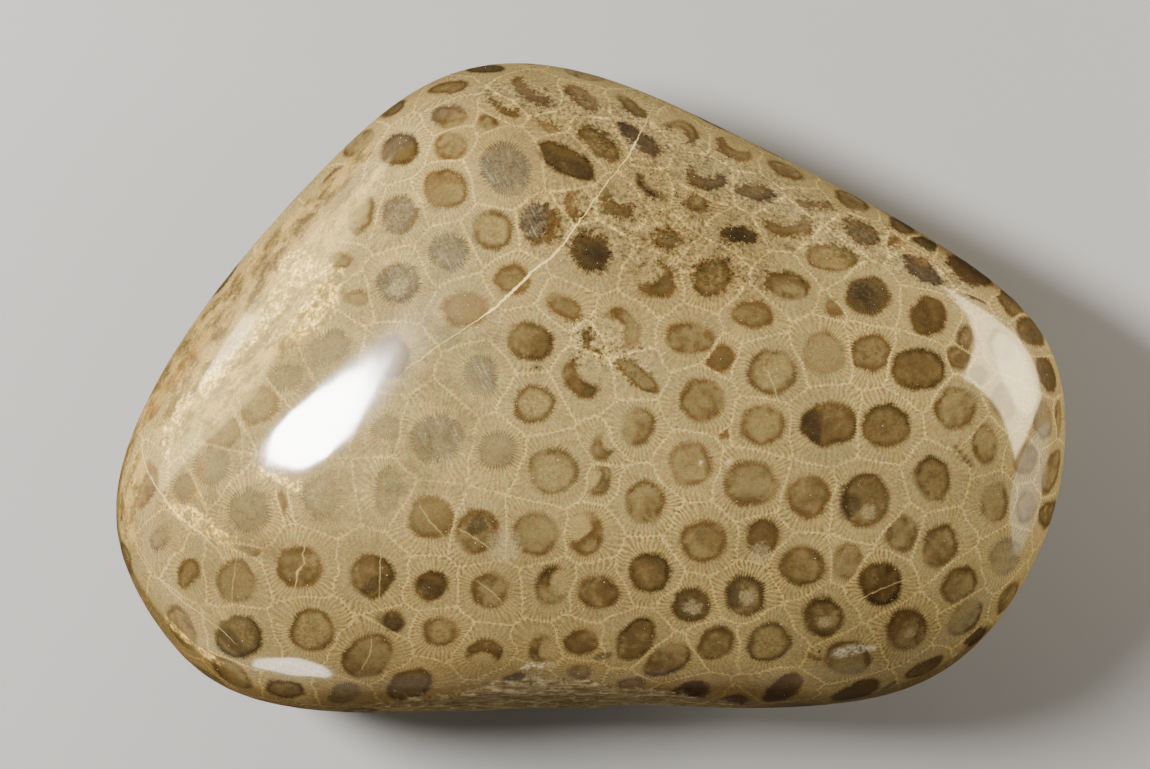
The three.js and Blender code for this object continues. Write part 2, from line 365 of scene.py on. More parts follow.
# The hollow on the near side that the polish never reached: the middle of it, its
# half length and half height in millimetres, and how far its ledges are broken back.
ROUGH_MIDDLE = (-4.5, 21.5)
ROUGH_HALF_LENGTH = 19.0
ROUGH_HALF_HEIGHT = 5.5
ROUGH_DEPTH = 0.45
# How long the ledges are drawn out along the side, and how close they lie.
LEDGE_SCALE = (0.12, 0.4, 0.55)

FLOOR_WIDE = 6
FLOOR_COLOUR = (0.28, 0.275, 0.267, 1)
WORLD_COLOUR = (1, 0.99, 0.97, 1)

# Colours as they look on a screen. The last two are painted shade, tints that darken what is below
# them.
COLOURS = {
    "ground": (150, 134, 90), "warm ground": (156, 135, 88), "dark ground": (141, 122, 78),
    "gap": (88, 71, 38), "septum": (188, 160, 92), "light brown": (128, 111, 71),
    "brown": (75, 55, 26), "black brown": (42, 29, 10), "rust": (115, 82, 44),
    "open middle": (140, 121, 74), "dark middle": (38, 31, 23), "frost": (116, 108, 84),
    "ray in calice": (182, 158, 98), "wall": (200, 172, 106), "wall's core": (222, 194, 122),
    "calcite": (76, 69, 55), "pale calcite": (102, 93, 74), "scratch": (160, 152, 130),
    "dot": (74, 53, 21), "haze": (116, 100, 64), "pale haze": (156, 136, 92), "bare": (108, 89, 48),
    "pale bare": (176, 147, 84), "fleck": (216, 182, 106), "stain": (98, 80, 43),
    "pale stain": (168, 140, 82), "stain's fleck": (192, 160, 98), "cream": (170, 136, 70),
    "pale cream": (252, 220, 132), "ochre": (146, 104, 48), "black": (36, 29, 20),
    "pit_shadow": (14, 12, 10), "milky": (152, 138, 102), "white": (204, 194, 162),
    "spark": (236, 228, 200), "vein": (212, 186, 118), "broken": (76, 65, 45),
    "pale broken": (124, 110, 80), "worn broken": (146, 132, 100), "falloff_shade": (234, 231, 228),
    "edge_shade": (190, 181, 162),
}


def srgb(red, green, blue):
    """A colour given as it looks on a screen, 0 to 255, in the shader's linear values."""
    def linear(value):
        share = value / 255
        return share / 12.92 if share <= 0.04045 else ((share + 0.055) / 1.055) ** 2.4

    return (linear(red), linear(green), linear(blue), 1.0)


def picture_place(point):
    """Where a point of the stone, in millimetres, shows in the photograph's frame."""
    scale = LENS_PX / (CAMERA_PLACE.z - point.z)
    return Vector((
        FRAME_WIDE / 2 + scale * (point.x - CAMERA_PLACE.x),
        FRAME_TALL / 2 - scale * (point.y - CAMERA_PLACE.y),
    ))


def sight_line(x, y):
    """The direction from the camera through a pixel of the photograph's frame."""
    return Vector((x - FRAME_WIDE / 2, FRAME_TALL / 2 - y, -LENS_PX)).normalized()


def deselect_all():
    for thing in bpy.context.selected_objects:
        thing.select_set(False)


def make_active(thing):
    deselect_all()
    thing.select_set(True)
    bpy.context.view_layer.objects.active = thing


def apply_modifier(thing, name, kind, **settings):
    """Adds a modifier with these settings and applies it."""
    make_active(thing)
    modifier = thing.modifiers.new(name, kind)
    for key, value in settings.items():
        setattr(modifier, key, value)
    bpy.ops.object.modifier_apply(modifier=modifier.name)


def add_camera():
    camera = bpy.data.cameras.new("camera")
    camera.lens = LENS_MM
    camera.sensor_width = SENSOR_MM
    camera.clip_start = 0.01
    holder = bpy.data.objects.new("camera", camera)
    holder.location = CAMERA_PLACE * MM
    bpy.context.scene.collection.objects.link(holder)
    bpy.context.scene.camera = holder


def smooth_stone():
    """A fine, even copy of the stone's solid with its facets rounded off."""
    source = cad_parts["coral_stone"]
    stone = bpy.data.objects.new("polished_coral_stone", source.data.copy())
    bpy.context.scene.collection.objects.link(stone)
    make_active(stone)
    bpy.ops.object.mode_set(mode="EDIT")
    bpy.ops.mesh.select_all(action="SELECT")
    bpy.ops.mesh.remove_doubles(threshold=0.001 * MM)
    bpy.ops.object.mode_set(mode="OBJECT")
    apply_modifier(
        stone, "even_net", "REMESH", mode="VOXEL", voxel_size=NET_SPACING * MM, adaptivity=0
    )
    apply_modifier(stone, "round_off", "SMOOTH", factor=0.5, iterations=ROUNDING_PASSES)
    return stone


def read_values(items, key, kind):
    values = np.empty(len(items), kind)
    items.foreach_get(key, values)
    return values


def read_vectors(items, key):
    vectors = np.empty(len(items) * 3, np.float32)
    items.foreach_get(key, vectors)
    return vectors.reshape(-1, 3).astype(float)


def read_places(mesh):
    return read_vectors(mesh.vertices, "co") / MM


def write_places(mesh, places):
    mesh.vertices.foreach_set("co", (places * MM).astype(np.float32).ravel())
    mesh.update()


class Skin:
    """The stone's surface as a thing to hit with rays, in millimetres."""

    def __init__(self, mesh):
        self.tree = BVHTree.FromPolygons(
            [vertex.co / MM for vertex in mesh.vertices],
            [polygon.vertices[:] for polygon in mesh.polygons],
        )

    def under(self, x, y):
        """The point and the normal that a pixel shows, or the nearest ones at the edge."""
        towards = sight_line(x, y)
        place, normal, _, _ = self.tree.ray_cast(CAMERA_PLACE, towards)
        if place is None:
            reach = (CAMERA_PLACE.z - RIM_HEIGHT) / -towards.z
            place, normal, _, _ = self.tree.find_nearest(CAMERA_PLACE + towards * reach)
        return place, normal


class Calice:
    """The brown hollow in the middle of a corallite, as an ellipse on the stone."""

    def __init__(self, place, normal, shape, across, tone, bite, chance):
        self.place = np.array(place)
        # Two directions along the surface.
        self.across = across
        self.along = np.array(normal.cross(Vector(across)))
        # Turns a step along the surface into one where the calice's edge is at 1.
        self.unround = np.linalg.inv(shape)
        self.radius = math.sqrt(abs(np.linalg.det(shape)))
        self.tone = np.array(TONES[tone]) + chance.normal(size=4) * TONE_SPREAD
        # The way to the middle of its bite, or nothing where it is whole.
        self.bite = (0, 0) if bite is None else bite
        self.septa = SEPTA_FEWEST + 2 * round(SEPTA_PER_MM * self.radius / 2)
        self.phase = chance.random()


def surface_across(normal):
    """The direction on the surface that is nearest to +X, or to +Y where X won't do."""
    lean = Vector((1, 0, 0)) if abs(normal.x) < 0.9 else Vector((0, 1, 0))
    return (lean - normal * lean.dot(normal)).normalized()


def picture_way(degrees):
    """A direction in the photograph's frame, where y runs down."""
    return np.array([math.cos(math.radians(degrees)), -math.sin(math.radians(degrees))])


def read_calice(skin, chance, x, y, half_length, half_width, turn, tone, bite=None):
    """A calice placed and shaped so that it shows as the photograph shows it."""
    place, normal = skin.under(x, y)
    if normal.z < LEAST_FACING:
        level = Vector((normal.x, normal.y, 0)).normalized()
        normal = level * math.sqrt(1 - LEAST_FACING**2) + Vector((0, 0, LEAST_FACING))
    across = surface_across(normal)
    along = normal.cross(across)
    here = picture_place(place)
    steps = np.array([picture_place(place + step) - here for step in (across, along)]).T
    long_way = picture_way(turn)
    short_way = np.array([-long_way[1], long_way[0]])
    seen = np.array([long_way * half_length, short_way * half_width]).T
    shape = np.linalg.solve(steps, seen)
    if bite is not None:
        bite = np.linalg.solve(seen, picture_way(bite) * half_length)
        bite = bite / np.linalg.norm(bite)
    return Calice(place, normal, shape, np.array(across), tone, bite, chance)


def unseen_calices(places, normals, taken, chance):
    """Calices for the rest of the surface, each as far from the others as it can be."""
    gaps = np.full(len(places), np.inf)
    for calice in taken:
        gaps = np.minimum(gaps, np.linalg.norm(places - calice.place, axis=1))
    found = []
    while gaps.max() > UNSEEN_GAP * UNSEEN_FULL:
        ripe = np.flatnonzero(gaps > gaps.max() * UNSEEN_RIPE)
        chosen = chance.choice(ripe)
        small = chance.random() < UNSEEN_SMALL_SHARE
        size = chance.uniform(*UNSEEN_CALICE) * (UNSEEN_SMALLER if small else 1)
        stretch = chance.uniform(0.86, 1.0)
        turn = chance.uniform(0, math.pi)
        spin = np.array([[math.cos(turn), -math.sin(turn)], [math.sin(turn), math.cos(turn)]])
        shape = spin @ np.diag([size / stretch, size * stretch])
        normal = Vector(normals[chosen])
        tone = UNSEEN_TONES[chance.integers(len(UNSEEN_TONES))]
        across = np.array(surface_across(normal))
        found.append(Calice(places[chosen], normal, shape, across, tone, None, chance))
        reach = np.linalg.norm(places - places[chosen], axis=1)
        gaps = np.minimum(gaps, reach)
    return found


class Net:
    """The stone's mesh as arrays: places, faces and the corners of the faces."""

    def __init__(self, mesh):
        self.mesh = mesh
        self.places = read_places(mesh)
        self.normals = read_vectors(mesh.vertex_normals, "vector")
        self.corner_vertex = read_values(mesh.loops, "vertex_index", np.int32)
        sides = read_values(mesh.polygons, "loop_total", np.int32)
        self.corner_face = np.repeat(np.arange(len(sides)), sides)
        self.centres = read_vectors(mesh.polygons, "center") / MM

    def store(self, name, values, domain="POINT"):
        """Keeps one, three or four values for each point or corner under a name."""
        kinds = {1: ("FLOAT", "value"), 3: ("FLOAT_VECTOR", "vector"), 4: ("FLOAT_COLOR", "color")}
        kind, key = kinds[1 if values.ndim == 1 else values.shape[1]]
        attribute = self.mesh.attributes.new(name, kind, domain)
        attribute.data.foreach_set(key, values.astype(np.float32).ravel())


def wandered(points, chance):
    """The points moved a little by slow waves, the same way wherever they are close."""
    moved = points.copy()
    for length in WANDER_WAVES:
        for _ in range(2):
            run, lean = chance.normal(size=(2, 3))
            run *= math.tau / length / np.linalg.norm(run)
            lean *= WALL_WANDER * 0.6 / np.linalg.norm(lean)
            moved += np.sin(points @ run + chance.uniform(0, math.tau))[:, None] * lean
    return moved


def store_cells(net, calices, chance):
    """Gives each face to one corallite and stores where its corners lie in it."""
    places = np.array([calice.place for calice in calices])
    radii = np.array([calice.radius for calice in calices])
    weights = (WALL_REACH * radii) ** 2
    shifted = wandered(np.concatenate([net.centres, net.places]), chance)
    centres, moved = shifted[:len(net.centres)], shifted[len(net.centres):]

    owner = np.empty(len(centres), int)
    for start in range(0, len(owner), FACES_AT_ONCE):
        part = slice(start, start + FACES_AT_ONCE)
        reach = ((centres[part, None, :] - places[None]) ** 2).sum(2) - weights
        owner[part] = reach.argmin(1)

    apart = np.linalg.norm(places[:, None] - places[None], axis=2)
    near = np.argsort(apart, axis=1)[:, 1:NEIGHBOURS + 1]

    corner_owner = owner[net.corner_face]
    points = net.places[net.corner_vertex]
    nudged = moved[net.corner_vertex]
    own = ((nudged - places[corner_owner]) ** 2).sum(1) - weights[corner_owner]
    wall = np.full(len(points), np.inf)
    for rank in range(NEIGHBOURS):
        other = near[corner_owner, rank]
        theirs = ((nudged - places[other]) ** 2).sum(1) - weights[other]
        wall = np.minimum(wall, (theirs - own) / (2 * apart[corner_owner, other]))

    def own_values(name):
        return np.array([getattr(calice, name) for calice in calices], float)[corner_owner]

    steps = points - places[corner_owner]
    flat = np.stack([(steps * own_values(way)).sum(1) for way in ("across", "along")], axis=1)
    level = np.einsum("nij,nj->ni", own_values("unround"), flat)
    share = np.linalg.norm(level, axis=1)
    length = np.linalg.norm(flat, axis=1)
    radius = radii[corner_owner]
    rim = np.where(share > 1e-3, length * (1 - 1 / np.maximum(share, 1e-3)), -radius)

    bites = own_values("bite")
    bitten = bites.any(axis=1)
    bite_rim = (BITE_REACH - np.linalg.norm(level - BITE_AWAY * bites, axis=1)) * radius
    rim = np.where(bitten, np.maximum(rim, bite_rim), rim)

    place = np.column_stack([level * radius[:, None], wall])
    net.store("cell_place", place, "CORNER")
    rims = np.column_stack([rim, own_values("septa"), own_values("phase")])
    net.store("cell_rim", rims, "CORNER")
    net.store("cell_tone", own_values("tone"), "CORNER")


def store_veins(net, skin):
    """Stores the signed distance to the nearest vein, its nearness, half width and clearness."""
    nearest = np.full(len(net.places), np.inf)
    signed = np.zeros(len(net.places))
    width = np.zeros(len(net.places))
    clear = np.zeros(len(net.places))
    for clearness, vein in VEINS:
        points = [skin.under(x, y) for x, y, _ in vein]
        for index in range(len(vein) - 1):
            (start, normal), (end, _) = points[index], points[index + 1]
            line = np.array(end - start)
            side = np.array(normal.cross(end - start).normalized())
            steps = net.places - np.array(start)
            share = np.clip(steps @ line / (line @ line), 0, 1)
            away = steps - share[:, None] * line
            distance = np.linalg.norm(away, axis=1)
            closer = distance < nearest
            nearest[closer] = distance[closer]
            signed[closer] = (distance * np.sign(away @ side))[closer]
            here = vein[index][2] + share * (vein[index + 1][2] - vein[index][2])
            width[closer] = here[closer]
            clear[closer] = clearness
    near = np.clip(2 - nearest / VEIN_NEAR, 0, 1)
    net.store("vein", np.column_stack([signed, near, width, clear]))


def store_marks(net, skin):
    """Stores how strong each kind of mark is at each point, from 0 to 1."""
    for kind, strokes in MARKS.items():
        strength = np.zeros(len(net.places))
        for stroke in strokes:
            points = [np.array(skin.under(x, y)[0]) for x, y, _ in stroke]
            reaches = [reach / PIXELS_PER_MM for _, _, reach in stroke]
            for index in range(max(1, len(stroke) - 1)):
                other = min(index + 1, len(stroke) - 1)
                line = points[other] - points[index]
                steps = net.places - points[index]
                share = np.clip(steps @ line / max(line @ line, 1e-9), 0, 1)
                distance = np.linalg.norm(steps - share[:, None] * line, axis=1)
                reach = reaches[index] + share * (reaches[other] - reaches[index])
                strength = np.maximum(strength, np.clip(2 - 2 * distance / reach, 0, 1))
        net.store(kind, strength)


class Nodes:
    """Adds shader nodes; every call gives back an output socket to plug in elsewhere."""

    def __init__(self, tree):
        self.tree = tree

    def plug(self, socket, value):
        """Feeds an input from a socket, a colour's name or a plain value."""
        if isinstance(value, bpy.types.NodeSocket):
            self.tree.links.new(value, socket)
        elif isinstance(value, str):
            socket.default_value = srgb(*COLOURS[value])
        else:
            socket.default_value = value

    def add(self, kind, inputs=(), **settings):
        node = self.tree.nodes.new(kind)
        for key, value in settings.items():
            setattr(node, key, value)
        for name, value in dict(inputs).items():
            self.plug(node.inputs[name], value)
        return node

    def math(self, operation, *values):
        return self.add("ShaderNodeMath", dict(enumerate(values)), operation=operation).outputs[0]

    def times(self, product, *values):
        for value in values:
            product = self.math("MULTIPLY", product, value)
        return product

    def plus(self, base, value, amount=1.0):
        """The base and so much of the value."""
        return self.math("MULTIPLY_ADD", value, amount, base)

    def rest_of(self, share):
        """What a share leaves of the whole."""
        return self.math("SUBTRACT", 1.0, share)

    def swing(self, texture):
        """How far a texture is above its middle."""
        return self.math("SUBTRACT", texture, 0.5)

    def swayed(self, value, *textures):
        """A value that textures shift, each by its own amount."""
        for texture, amount in textures:
            value = self.plus(value, self.swing(texture), amount)
        return value

    def ease(self, value, low, high, start=0.0, end=1.0):
        """start below low, end above high, and a smooth step between."""
        inputs = {"Value": value, "From Min": low, "From Max": high, "To Min": start, "To Max": end}
        return self.add("ShaderNodeMapRange", inputs, interpolation_type="SMOOTHSTEP").outputs[0]

    def mix(self, share, first, second, blend="MIX"):
        """The first colour with a share of the second: a mix node's inputs 6 and 7."""
        inputs = {0: share, 6: first, 7: second}
        return self.add("ShaderNodeMix", inputs, data_type="RGBA", blend_type=blend).outputs[2]

    def scale(self, vector, amount):
        inputs = {0: vector, "Scale": amount}
        return self.add("ShaderNodeVectorMath", inputs, operation="SCALE").outputs[0]

    def stretched(self, place, turn, scale):
        """Places for a texture that is drawn out along a line."""
        inputs = {"Vector": place, "Rotation": (0, 0, turn), "Scale": scale}
        return self.add("ShaderNodeMapping", inputs, vector_type="TEXTURE").outputs[0]

    def grey(self, value):
        inputs = {0: value, 1: value, 2: value}
        return self.add("ShaderNodeCombineColor", inputs).outputs[0]

    def dots(self, place, crowding, radius):
        """1 in round dots scattered through the stone, 0 between them."""
        inputs = {"Vector": place, "Scale": crowding}
        distance = self.add("ShaderNodeTexVoronoi", inputs).outputs["Distance"]
        return self.ease(distance, radius * 0.5, radius, 1.0, 0.0)

    def noise(self, place, scale, detail, roughness):
        inputs = {"Vector": place, "Scale": scale, "Detail": detail, "Roughness": roughness}
        return self.add("ShaderNodeTexNoise", inputs).outputs["Fac"]

    def colour_parts(self, colour):
        return self.add("ShaderNodeSeparateColor", {"Color": colour}).outputs

    def split(self, vector):
        return self.add("ShaderNodeSeparateXYZ", {"Vector": vector}).outputs

    def stored(self, name):
        return self.add("ShaderNodeAttribute", attribute_name=name)

    def mark(self, kind):
        """How strong a kind of mark is."""
        return self.stored(kind).outputs["Fac"]

    def patch(self, kind, texture, raggedness):
        """Where a kind of mark is, with an edge broken up by a texture."""
        strength = self.mark(kind)
        reach = self.plus(self.times(self.swing(texture), raggedness), strength)
        return self.times(self.ease(reach, 0.1, 1.0), self.ease(strength, 0.0, 0.3))


def coral_material():
    """Polished limestone with its corallites, veins and marks."""
    material = bpy.data.materials.new("polished_coral")
    material.use_nodes = True
    tree = material.node_tree
    tree.nodes.clear()
    nodes = Nodes(tree)

    spot = nodes.add("ShaderNodeTexCoord").outputs["Object"]
    place = nodes.scale(spot, 1 / MM)
    # Textures from the finest to the slowest.
    dust = nodes.noise(place, 4.6, 1.5, 0.6)
    grain = nodes.noise(place, 2.2, 3.0, 0.6)
    blotch = nodes.noise(place, 0.9, 3.0, 0.55)
    bend = nodes.noise(place, 0.5, 1.0, 0.5)
    slow = nodes.noise(place, 0.24, 2.0, 0.5)
    cloud = nodes.noise(place, 0.075, 3.0, 0.5)
    speckled = nodes.mark("speckled")

    across, along, wall = nodes.split(nodes.stored("cell_place").outputs["Vector"])
    rim, septa, phase = nodes.split(nodes.stored("cell_rim").outputs["Vector"])
    tone = nodes.stored("cell_tone")
    darkness, middle, greyness = nodes.colour_parts(tone.outputs["Color"])
    warmth = tone.outputs["Alpha"]
    # Two more values of each cell's own.
    own_clearness = nodes.math("FRACT", nodes.times(phase, 17.3))
    own_tint = nodes.math("FRACT", nodes.times(phase, 43.7))

    # Septa: fine pale rays with thin brown gaps between them.
    angle = nodes.math("ARCTAN2", along, across)
    turns = nodes.times(nodes.plus(phase, angle, 1 / math.tau), septa)
    turns = nodes.plus(turns, bend, 2.6)
    turns = nodes.plus(turns, grain, 0.8)
    ray = nodes.times(nodes.math("PINGPONG", turns, 0.5), 2.0)
    septum = nodes.ease(ray, 0.25, 0.75)
    clearness = nodes.ease(own_clearness, 0, 1, 0.5, 1.0)
    clearness = nodes.times(nodes.ease(slow, 0.32, 0.68, 0.45, 1.1), clearness)
    clearness = nodes.plus(clearness, nodes.mark("bold"), 0.55)
    clearness = nodes.plus(clearness, speckled, -0.15)

    # Calices: 1 inside their soft edge, and a dark ring along it.
    teeth = nodes.times(ray, nodes.plus(0.05, greyness, 0.4))
    edge = nodes.swayed(
        nodes.math("ADD", rim, teeth),
        (bend, 0.9), (blotch, 0.7), (grain, 0.6), (dust, 0.35),
    )
    edge = nodes.plus(edge, nodes.times(nodes.swing(grain), speckled), 1.2)
    inner = nodes.plus(-0.34, speckled, -0.12)
    outer = nodes.plus(0.42, speckled, 0.1)
    inside = nodes.ease(edge, inner, outer, 1.0, 0.0)
    rim_ring = nodes.ease(edge, -1.0, -0.1)

    # The stone between calice and wall.
    by_wall = nodes.ease(wall, 0.10, 0.75, 1.0, 0.0)
    rung = nodes.math("PINGPONG", nodes.plus(rim, blotch, 0.8), 0.28)
    gap = nodes.times(
        nodes.plus(0.20, by_wall, 0.36),
        nodes.rest_of(septum),
        clearness,
        nodes.ease(grain, 0.32, 0.62, 0.3, 1.15),
        nodes.ease(rim, -0.1, 0.9, 0.35, 1.0),
        nodes.ease(rung, 0.02, 0.12, 0.35, 1.0),
    )
    ground = nodes.mix(own_tint, "ground", "warm ground")
    ground = nodes.mix(nodes.ease(blotch, 0.3, 0.7), ground, "dark ground")
    ground = nodes.mix(gap, ground, "gap")
    ground = nodes.mix(nodes.times(septum, clearness, 0.46), ground, "septum")

    # The brown of a calice, blotched inside. One side of its rim is darker.
    side = nodes.math("SINE", nodes.plus(angle, own_tint, math.tau))
    rim_dark = nodes.times(rim_ring, nodes.ease(side, -1.0, 1.0, 0.05, 0.55))
    patchy = nodes.plus(nodes.math("ADD", rim_dark, darkness), speckled, 0.3)
    patchy = nodes.swayed(patchy, (slow, 2.4), (blotch, 2.0), (grain, 1.5), (dust, 0.9))
    brown = nodes.mix(nodes.ease(patchy, 0.0, 1.0), "light brown", "brown")
    brown = nodes.mix(nodes.ease(patchy, 1.0, 1.6), brown, "black brown")
    rusty = nodes.times(rim_ring, nodes.ease(own_tint, 0.2, 1.0, 0.0, 0.25))
    brown = nodes.mix(nodes.plus(rusty, warmth, 0.4), brown, "rust")
    # Its middle is open and pale, or dark where the tone's value is below 0.
    pale = nodes.times(nodes.rest_of(rim_ring), middle, nodes.ease(grain, 0.3, 0.65, 0.4, 1.0))
    brown = nodes.mix(pale, brown, "open middle")
    dark = nodes.times(
        nodes.rest_of(nodes.ease(edge, -1.5, 0.1)),
        middle,
        nodes.ease(grain, 0.3, 0.6, -0.5, -1.1),
    )
    brown = nodes.mix(dark, brown, "dark middle")
    frost = nodes.times(greyness, nodes.ease(grain, 0.3, 0.7, 0.2, 0.75))
    brown = nodes.mix(frost, brown, "frost")
    rays = nodes.times(septum, nodes.plus(0.05, greyness, 0.22))
    brown = nodes.mix(rays, brown, "ray in calice")
    colour = nodes.mix(inside, ground, brown)

    # Ragged, beaded cream lines between the cells.
    bead = nodes.math("ABSOLUTE", nodes.swayed(wall, (ray, -0.18), (grain, 0.3)))
    line = nodes.times(
        nodes.ease(bead, 0.04, 0.28, 1.0, 0.0),
        nodes.ease(grain, 0.3, 0.65, 0.2, 0.5),
        nodes.plus(1.0, speckled, 0.6),
    )
    colour = nodes.mix(line, colour, "wall")
    core = nodes.times(
        nodes.ease(bead, 0.0, 0.12, 1.0, 0.0), nodes.ease(dust, 0.35, 0.65, 0.1, 0.6)
    )
    colour = nodes.mix(core, colour, "wall's core")

    # Grey calcite with its scratches, in calices only.
    lines = nodes.stretched(place, -1.1, (6.0, 0.30, 1.0))
    scratch = nodes.ease(nodes.noise(lines, 1.0, 2.0, 0.6), 0.56, 0.68)
    calcite = nodes.mix(nodes.ease(grain, 0.35, 0.65), "calcite", "pale calcite")
    calcite = nodes.mix(nodes.times(scratch, 0.6), calcite, "scratch")
    scuffed = nodes.times(nodes.patch("scuffed", blotch, 1.2), inside, 0.6)
    colour = nodes.mix(scuffed, colour, calcite)

    # Dark dots, above all where the cut is slanting.
    dot = nodes.times(nodes.dots(place, 2.0, 0.28), nodes.plus(0.10, speckled, 0.62))
    colour = nodes.mix(dot, colour, "dot")

    # Stone that hides the cells: haze, bare stone, stains, cream crystals and ochre.
    haze = nodes.times(nodes.mark("haze"), nodes.ease(cloud, 0.3, 0.7, 0.12, 0.42))
    colour = nodes.mix(haze, colour, nodes.mix(blotch, "haze", "pale haze"))
    drifts = nodes.stretched(place, 0.9, (1.4, 0.8, 1.0))
    drift = nodes.noise(drifts, 0.45, 5.0, 0.65)
    flecks = nodes.ease(nodes.noise(drifts, 1.6, 4.0, 0.7), 0.5, 0.75)
    bare_stone = nodes.mix(nodes.ease(drift, 0.40, 0.60), "bare", "pale bare")
    bare_stone = nodes.mix(flecks, bare_stone, "fleck")
    bare = nodes.times(nodes.mark("bare"), nodes.ease(slow, 0.3, 0.6, 0.7, 0.95))
    colour = nodes.mix(bare, colour, bare_stone)
    stains = nodes.mix(nodes.ease(drift, 0.38, 0.60), "stain", "pale stain")
    stains = nodes.mix(nodes.times(flecks, 0.6), stains, "stain's fleck")
    colour = nodes.mix(nodes.patch("stained", blotch, 0.8), colour, stains)
    cream = nodes.times(
        nodes.patch("cream", blotch, 1.6), nodes.ease(blotch, 0.4, 0.56, 0.15, 0.95)
    )
    crystals = nodes.mix(nodes.ease(grain, 0.38, 0.62), "cream", "pale cream")
    colour = nodes.mix(cream, colour, crystals)
    ochre = nodes.times(nodes.patch("ochre", blotch, 1.6), 0.28)
    colour = nodes.mix(ochre, colour, "ochre")

    # Grain all over, in shade and a little in colour, and painted shade that darkens the steep sides
    # and tints whole sides.
    shade = nodes.plus(nodes.plus(0.25, dust, 0.9), grain, 0.36)
    shade = nodes.plus(shade, nodes.times(nodes.swing(grain), speckled), 1.9)
    shade = nodes.times(
        shade, nodes.plus(0.56, cloud, 0.5), nodes.ease(nodes.mark("steep_side_shade"), 0.3, 0.9, 1.0, 0.78)
    )
    colour = nodes.mix(1.0, colour, nodes.grey(shade), "MULTIPLY")
    # Painted shade, tinting the near side, the far edge and the edges darker.
    for kind in ("falloff_shade", "edge_shade"):
        colour = nodes.mix(nodes.ease(nodes.mark(kind), 0.0, 1.0), colour, kind, "MULTIPLY")
    mottle = nodes.plus(1.0, nodes.times(nodes.swing(blotch), speckled), 2.2)
    drifting = nodes.math("SUBTRACT", nodes.math("ADD", slow, blotch), 1.0)
    mottle = nodes.plus(mottle, nodes.times(drifting, nodes.mark("haze")), 0.9)
    colour = nodes.mix(1.0, colour, nodes.grey(mottle), "MULTIPLY")
    motley = nodes.add("ShaderNodeTexNoise", {"Vector": place, "Scale": 3.1, "Detail": 2.0})
    colour = nodes.mix(0.35, colour, motley.outputs["Color"], "OVERLAY")

    # Black spots, pits painted as dark spots for the shadow inside them, milky cores, white calcite,
    # and pale specks with painted glints.
    black = nodes.times(nodes.patch("black", grain, 1.6), nodes.ease(dust, 0.3, 0.6, 0.3, 0.68))
    colour = nodes.mix(black, colour, "black")
    colour = nodes.mix(nodes.ease(nodes.mark("pit_shadow"), 0.5, 1.0), colour, "pit_shadow")
    milky = nodes.times(nodes.patch("milky", grain, 1.8), nodes.ease(dust, 0.3, 0.65, 0.15, 0.45))
    colour = nodes.mix(milky, colour, "milky")
    white = nodes.times(
        nodes.mark("white"),
        nodes.ease(grain, 0.35, 0.6, 0.1, 1.0),
        nodes.ease(dust, 0.35, 0.6, 0.3, 0.55),
    )
    colour = nodes.mix(white, colour, "white")
    # Pale crystal specks, brightened into painted glints.
    spark = nodes.times(nodes.dots(place, 1.25, 0.065), nodes.ease(blotch, 0.4, 0.6))
    colour = nodes.mix(spark, colour, "spark")

    # Cream lines with lumps and ragged edges.
    strand = nodes.stored("vein")
    across, near, width = nodes.colour_parts(strand.outputs["Color"])
    ragged = nodes.swayed(across, (blotch, 0.5))
    lumpy = nodes.times(width, nodes.ease(grain, 0.3, 0.65, 0.4, 1.7))
    out = nodes.math("SUBTRACT", nodes.math("ABSOLUTE", ragged), lumpy)
    vein = nodes.times(
        nodes.ease(nodes.swayed(out, (grain, 0.12)), -0.03, 0.05, 1.0, 0.0),
        nodes.ease(near, 0.4, 0.6),
        strand.outputs["Alpha"],
        nodes.ease(grain, 0.2, 0.5, 0.5, 1.0),
    )
    colour = nodes.mix(vein, colour, "vein")

    # The rough hollow, in beds.
    rough = nodes.math(
        "MAXIMUM",
        nodes.patch("rough", blotch, 1.6),
        nodes.patch("streaked", blotch, 2.4),
    )
    inputs = {"Vector": place, "Scale": (0.5, 1.5, 2.4)}
    beds = nodes.noise(nodes.add("ShaderNodeMapping", inputs).outputs[0], 0.9, 4.0, 0.65)
    broken = nodes.mix(nodes.ease(beds, 0.32, 0.66), "broken", "pale broken")
    broken = nodes.mix(nodes.ease(blotch, 0.5, 0.72), broken, "worn broken")
    colour = nodes.mix(nodes.times(rough, 0.85), colour, broken)

    relief = nodes.plus(nodes.times(beds, rough), grain, 0.006)
    bump = nodes.add("ShaderNodeBump", {"Height": relief, "Strength": 1.0, "Distance": 0.35 * MM})
    # The polish is a clear skin, missing in the hollow. It fades at a glancing look, so
    # that the pale floor doesn't whiten the stone's rim.
    facing = nodes.add("ShaderNodeLayerWeight", {"Blend": 0.5}).outputs["Facing"]
    polish = nodes.times(nodes.ease(facing, 0.27, 0.57, 1.0, 0.06), nodes.rest_of(rough))
    shader = nodes.add("ShaderNodeBsdfPrincipled", {
        "Base Color": colour,
        "Roughness": nodes.plus(0.4, rough, 0.4),
        "Specular IOR Level": 0.0,
        "Coat Weight": polish,
        "Coat Roughness": 0.08,
        "Coat IOR": 1.45,
        "Normal": bump.outputs["Normal"],
    })
    surface = nodes.add("ShaderNodeOutputMaterial")
    tree.links.new(shader.outputs["BSDF"], surface.inputs["Surface"])
    return material


def add_floor():
    bpy.ops.mesh.primitive_plane_add(size=FLOOR_WIDE)
    floor = bpy.context.object
    floor.name = "floor"
    material = bpy.data.materials.new("pale_floor")
    material.use_nodes = True
    shader = material.node_tree.nodes["Principled BSDF"]
    shader.inputs["Base Color"].default_value = FLOOR_COLOUR
    shader.inputs["Roughness"].default_value = 0.9
    floor.data.materials.append(material)


